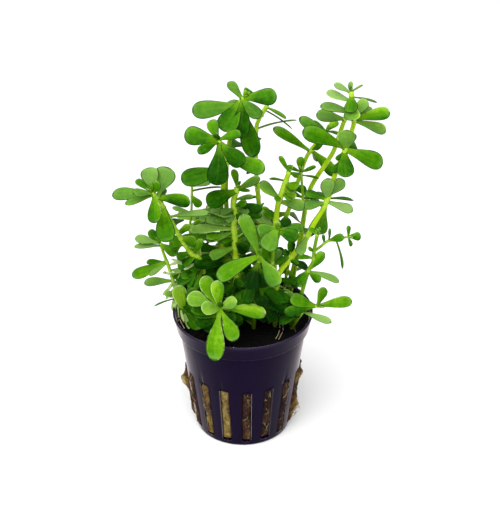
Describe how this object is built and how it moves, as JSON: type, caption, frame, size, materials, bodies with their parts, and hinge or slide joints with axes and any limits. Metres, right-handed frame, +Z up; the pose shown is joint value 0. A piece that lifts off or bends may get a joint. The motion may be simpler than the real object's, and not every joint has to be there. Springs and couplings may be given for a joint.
{
  "type": "potted bacopa aquarium plant",
  "caption": "Bunch of leafy upright bacopa stems planted in a small slotted net pot filled with mineral wool and soil.",
  "frame": {"origin": "centre of the pot's flat base", "axes": "+Z up, the plant's front looks along -Y, +X to the viewer's right"},
  "size_m": [0.0931, 0.0656, 0.1417],
  "materials": {
    "pot_plastic": "satin",
    "mineral_wool": "matte",
    "soil": "matte",
    "stem": "satin",
    "leaf": "satin"
  },
  "bodies": {
    "root": {"leaf_centre_a": "leaf", "leaf_centre_front_a": "leaf", "leaf_centre_front_b": "leaf", "leaf_centre_front_c": "leaf", "leaf_far_left_a": "leaf", "leaf_far_left_b": "leaf", "leaf_far_left_c": "leaf", "leaf_far_left_d": "leaf", "leaf_far_left_e": "leaf", "leaf_far_left_f": "leaf", "leaf_front_a": "leaf", "leaf_front_b": "leaf", "leaf_front_c": "leaf", "leaf_front_d": "leaf", "leaf_front_e": "leaf", "leaf_front_f": "leaf", "leaf_left_rosette_a": "leaf", "leaf_left_rosette_b": "leaf", "leaf_left_rosette_c": "leaf", "leaf_left_rosette_d": "leaf", "leaf_left_rosette_e": "leaf", "leaf_low_left_a": "leaf", "leaf_low_right_a": "leaf", "leaf_pale_back_a": "leaf", "leaf_round_leaf_a": "leaf", "leaf_round_leaf_b": "leaf", "leaf_tall_left_a": "leaf", "leaf_tall_left_b": "leaf", "leaf_tall_left_c": "leaf", "leaf_tall_left_d": "leaf", "leaf_tall_right_a": "leaf", "leaf_tall_right_b": "leaf", "leaf_tall_right_c": "leaf", "leaf_tall_right_d": "leaf", "leaf_tall_right_e": "leaf", "leaf_tall_right_f": "leaf", "leaf_tall_right_g": "leaf", "pot": "pot_plastic", "rockwool_plug": "mineral_wool", "soil": "soil", "stem_back_fill": "stem", "stem_back_left": "stem", "stem_centre": "stem", "stem_centre_front": "stem", "stem_dark": "stem", "stem_far_back": "stem", "stem_far_left": "stem", "stem_front": "stem", "stem_left_fill": "stem", "stem_left_rosette": "stem", "stem_low_left": "stem", "stem_low_right": "stem", "stem_mid_right": "stem", "stem_pale_back": "stem", "stem_right": "stem", "stem_round_leaf": "stem", "stem_tall_left": "stem", "stem_tall_right": "stem", "stem_thin_left": "stem", "stem_thin_right": "stem"}
  },
  "joints": []
}
